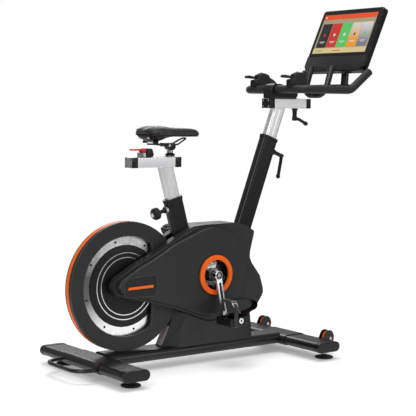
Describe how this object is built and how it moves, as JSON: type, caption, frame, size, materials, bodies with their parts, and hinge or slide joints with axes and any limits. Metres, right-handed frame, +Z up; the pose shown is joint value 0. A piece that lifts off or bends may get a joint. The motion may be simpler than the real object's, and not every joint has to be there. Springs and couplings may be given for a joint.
{
  "type": "exercise bike",
  "caption": "Indoor cycling bike with a guarded flywheel, belt drive, sliding saddle and handlebar posts, tilting display, toe-cage pedals and a floor frame with levelling feet.",
  "frame": {"origin": "on the floor, under the middle of the overall box", "axes": "+X forward, the way the rider faces; +Y to the rider's left; +Z up"},
  "size_m": [1.4989, 0.614, 1.4527],
  "materials": {
    "aero_hoop": "satin black powder coat",
    "bar_lever": "moulded black plastic",
    "base_cover": "fine-grained charcoal shell",
    "console_arm": "satin black powder coat",
    "console_housing": "fine-grained charcoal shell",
    "control_paddle_left": "moulded black plastic",
    "control_paddle_right": "moulded black plastic",
    "control_pod_left": "moulded black plastic",
    "control_pod_right": "moulded black plastic",
    "crank_arm_left": "polished",
    "crank_arm_right": "polished",
    "crank_axle": "polished",
    "crank_ring": "orange plastic",
    "drive_belt": "matt black",
    "drive_bracket": "satin black powder coat",
    "drive_cover_left": "fine-grained charcoal shell",
    "drive_cover_right": "fine-grained charcoal shell",
    "drive_pulley": "brushed, anodised silver",
    "flywheel": "polished",
    "flywheel_axle": "polished",
    "flywheel_hub": "satin black cast disc",
    "front_cap_left": "moulded black plastic",
    "front_cap_right": "moulded black plastic",
    "front_foot_left": "matt black",
    "front_foot_right": "matt black",
    "front_stabiliser": "satin black powder coat",
    "guard_rim": "orange plastic",
    "handlebar": "satin black powder coat",
    "handlebar_mount": "satin black powder coat",
    "handlebar_post": "brushed, anodised silver",
    "handlebar_rail": "brushed, anodised silver",
    "lift_handle": "satin black powder coat",
    "main_beam": "satin black powder coat",
    "mast": "satin black powder coat",
    "mast_bushing": "moulded black plastic",
    "mast_lever": "moulded black plastic",
    "pedal_left": "moulded black plastic",
    "pedal_right": "moulded black plastic",
    "pop_pin": "moulded black plastic",
    "rear_cap_left": "moulded black plastic",
    "rear_cap_right": "moulded black plastic",
    "rear_foot_left": "matt black",
    "rear_foot_right": "matt black",
    "rear_stabiliser": "satin black powder coat",
    "saddle": "black vinyl over foam",
    "saddle_clamp": "satin black powder coat",
    "saddle_rails": "polished",
    "saddle_stem": "polished",
    "screen": "glossy display glass",
    "seat_bushing": "moulded black plastic",
    "seat_lever": "red plastic",
    "seat_post": "brushed, anodised silver",
    "seat_rail": "brushed, anodised silver",
    "seat_tube": "satin black powder coat",
    "toe_cage_left": "moulded black plastic",
    "toe_cage_right": "moulded black plastic",
    "transport_wheel_left": "orange plastic",
    "transport_wheel_right": "orange plastic",
    "wheel_guard_left": "fine-grained charcoal shell",
    "wheel_guard_right": "fine-grained charcoal shell"
  },
  "bodies": {
    "frame": {"main_beam": "main_beam", "rear_stabiliser": "rear_stabiliser", "front_stabiliser": "front_stabiliser", "rear_cap_left": "rear_cap_left", "rear_cap_right": "rear_cap_right", "front_cap_left": "front_cap_left", "front_cap_right": "front_cap_right", "lift_handle": "lift_handle", "base_cover": "base_cover", "seat_tube": "seat_tube", "seat_bushing": "seat_bushing", "mast": "mast", "mast_bushing": "mast_bushing", "drive_bracket": "drive_bracket", "drive_cover_left": "drive_cover_left", "drive_cover_right": "drive_cover_right", "wheel_guard_left": "wheel_guard_left", "wheel_guard_right": "wheel_guard_right", "guard_rim": "guard_rim", "crank_ring": "crank_ring", "drive_belt": "drive_belt"},
    "flywheel": {"flywheel": "flywheel", "flywheel_hub": "flywheel_hub", "flywheel_axle": "flywheel_axle"},
    "crank": {"crank_axle": "crank_axle", "drive_pulley": "drive_pulley", "crank_arm_left": "crank_arm_left", "crank_arm_right": "crank_arm_right"},
    "pedal_left": {"pedal_left": "pedal_left", "toe_cage_left": "toe_cage_left"},
    "pedal_right": {"pedal_right": "pedal_right", "toe_cage_right": "toe_cage_right"},
    "seat_column": {"seat_post": "seat_post", "seat_rail": "seat_rail"},
    "seat_carriage": {"saddle_stem": "saddle_stem"},
    "seat_lever": {"seat_lever": "seat_lever"},
    "saddle": {"saddle_clamp": "saddle_clamp", "saddle_rails": "saddle_rails", "saddle": "saddle"},
    "pop_pin": {"pop_pin": "pop_pin"},
    "bar_column": {"handlebar_post": "handlebar_post", "handlebar_rail": "handlebar_rail"},
    "bar_carriage": {"handlebar_mount": "handlebar_mount", "handlebar": "handlebar", "aero_hoop": "aero_hoop", "console_arm": "console_arm", "control_pod_left": "control_pod_left", "control_pod_right": "control_pod_right"},
    "paddle_left": {"control_paddle_left": "control_paddle_left"},
    "paddle_right": {"control_paddle_right": "control_paddle_right"},
    "console": {"console_housing": "console_housing", "screen": "screen"},
    "bar_lever": {"bar_lever": "bar_lever"},
    "mast_lever": {"mast_lever": "mast_lever"},
    "wheel_left": {"transport_wheel_left": "transport_wheel_left"},
    "wheel_right": {"transport_wheel_right": "transport_wheel_right"},
    "rear_foot_left": {"rear_foot_left": "rear_foot_left"},
    "rear_foot_right": {"rear_foot_right": "rear_foot_right"},
    "front_foot_left": {"front_foot_left": "front_foot_left"},
    "front_foot_right": {"front_foot_right": "front_foot_right"}
  },
  "joints": [
    {"name": "flywheel_spin", "type": "hinge", "parent": "frame", "child": "flywheel", "pos_m": [-0.4577, 0, 0.332], "axis": [0, 1, 0], "continuous": true},
    {"name": "crank_spin", "type": "hinge", "parent": "frame", "child": "crank", "pos_m": [-0.0749, 0, 0.3555], "axis": [0, 1, 0], "continuous": true},
    {"name": "pedal_left_spin", "type": "hinge", "parent": "crank", "child": "pedal_left", "pos_m": [-0.08756, 0.1765, 0.52001], "axis": [0, 1, 0], "continuous": true},
    {"name": "pedal_right_spin", "type": "hinge", "parent": "crank", "child": "pedal_right", "pos_m": [-0.06224, -0.1765, 0.19099], "axis": [0, 1, 0], "continuous": true},
    {"name": "seat_height", "type": "slide", "parent": "frame", "child": "seat_column", "axis": [-0.2714, 0, 0.9625], "range_m": [-0.1, 0.1]},
    {"name": "seat_fore_aft", "type": "slide", "parent": "seat_column", "child": "seat_carriage", "axis": [1, 0, 0], "range_m": [-0.03, 0.015]},
    {"name": "seat_lever_flip", "type": "hinge", "parent": "seat_carriage", "child": "seat_lever", "pos_m": [-0.3779, 0, 0.8516], "axis": [0, 1, 0], "range_deg": [0, 45]},
    {"name": "saddle_tilt", "type": "hinge", "parent": "seat_carriage", "child": "saddle", "pos_m": [-0.2484, 0, 0.867], "axis": [0, 1, 0], "range_deg": [-10, 10]},
    {"name": "pop_pin_pull", "type": "slide", "parent": "frame", "child": "pop_pin", "axis": [-0.9625, 0, -0.2714], "range_m": [0, 0.01], "stiffness_N_per_m": 500, "springref_m": -0.006},
    {"name": "handlebar_height", "type": "slide", "parent": "frame", "child": "bar_column", "axis": [0.3502, 0, 0.9367], "range_m": [-0.085, 0.1]},
    {"name": "handlebar_fore_aft", "type": "slide", "parent": "bar_column", "child": "bar_carriage", "axis": [1, 0, 0], "range_m": [-0.02, 0.05]},
    {"name": "mast_lever_turn", "type": "hinge", "parent": "frame", "child": "mast_lever", "pos_m": [0.2717, 0, 0.83936], "axis": [0.9367, 0, -0.3502], "range_deg": [-90, 90]},
    {"name": "bar_lever_turn", "type": "hinge", "parent": "bar_carriage", "child": "bar_lever", "pos_m": [0.3916, 0, 1.0195], "axis": [0, 0, 1], "range_deg": [-90, 90]},
    {"name": "console_tilt", "type": "hinge", "parent": "bar_carriage", "child": "console", "pos_m": [0.6806, 0, 1.23], "axis": [0, 1, 0], "range_deg": [-5, 20]},
    {"name": "paddle_left_press", "type": "hinge", "parent": "bar_carriage", "child": "paddle_left", "pos_m": [0.2671, 0.117, 1.1465], "axis": [0, -1, 0], "range_deg": [0, 8], "stiffness_Nm_per_rad": 0.05, "springref_deg": -17.19},
    {"name": "wheel_left_roll", "type": "hinge", "parent": "frame", "child": "wheel_left", "pos_m": [0.4181, 0.2045, 0.07], "axis": [0, 1, 0], "continuous": true},
    {"name": "paddle_right_press", "type": "hinge", "parent": "bar_carriage", "child": "paddle_right", "pos_m": [0.2671, -0.117, 1.1465], "axis": [0, -1, 0], "range_deg": [0, 8], "stiffness_Nm_per_rad": 0.05, "springref_deg": -17.19},
    {"name": "wheel_right_roll", "type": "hinge", "parent": "frame", "child": "wheel_right", "pos_m": [0.4181, -0.2045, 0.07], "axis": [0, 1, 0], "continuous": true},
    {"name": "rear_foot_left_turn", "type": "hinge", "parent": "frame", "child": "rear_foot_left", "pos_m": [-0.5794, 0.235, 0], "axis": [0, 0, 1], "range_deg": [-180, 180]},
    {"name": "rear_foot_right_turn", "type": "hinge", "parent": "frame", "child": "rear_foot_right", "pos_m": [-0.5794, -0.235, 0], "axis": [0, 0, 1], "range_deg": [-180, 180]},
    {"name": "front_foot_left_turn", "type": "hinge", "parent": "frame", "child": "front_foot_left", "pos_m": [0.3556, 0.25, 0], "axis": [0, 0, 1], "range_deg": [-180, 180]},
    {"name": "front_foot_right_turn", "type": "hinge", "parent": "frame", "child": "front_foot_right", "pos_m": [0.3556, -0.25, 0], "axis": [0, 0, 1], "range_deg": [-180, 180]}
  ],
  "couplings": [
    {"joint": "crank_spin", "follows": "flywheel_spin", "ratio": 0.25}
  ]
}
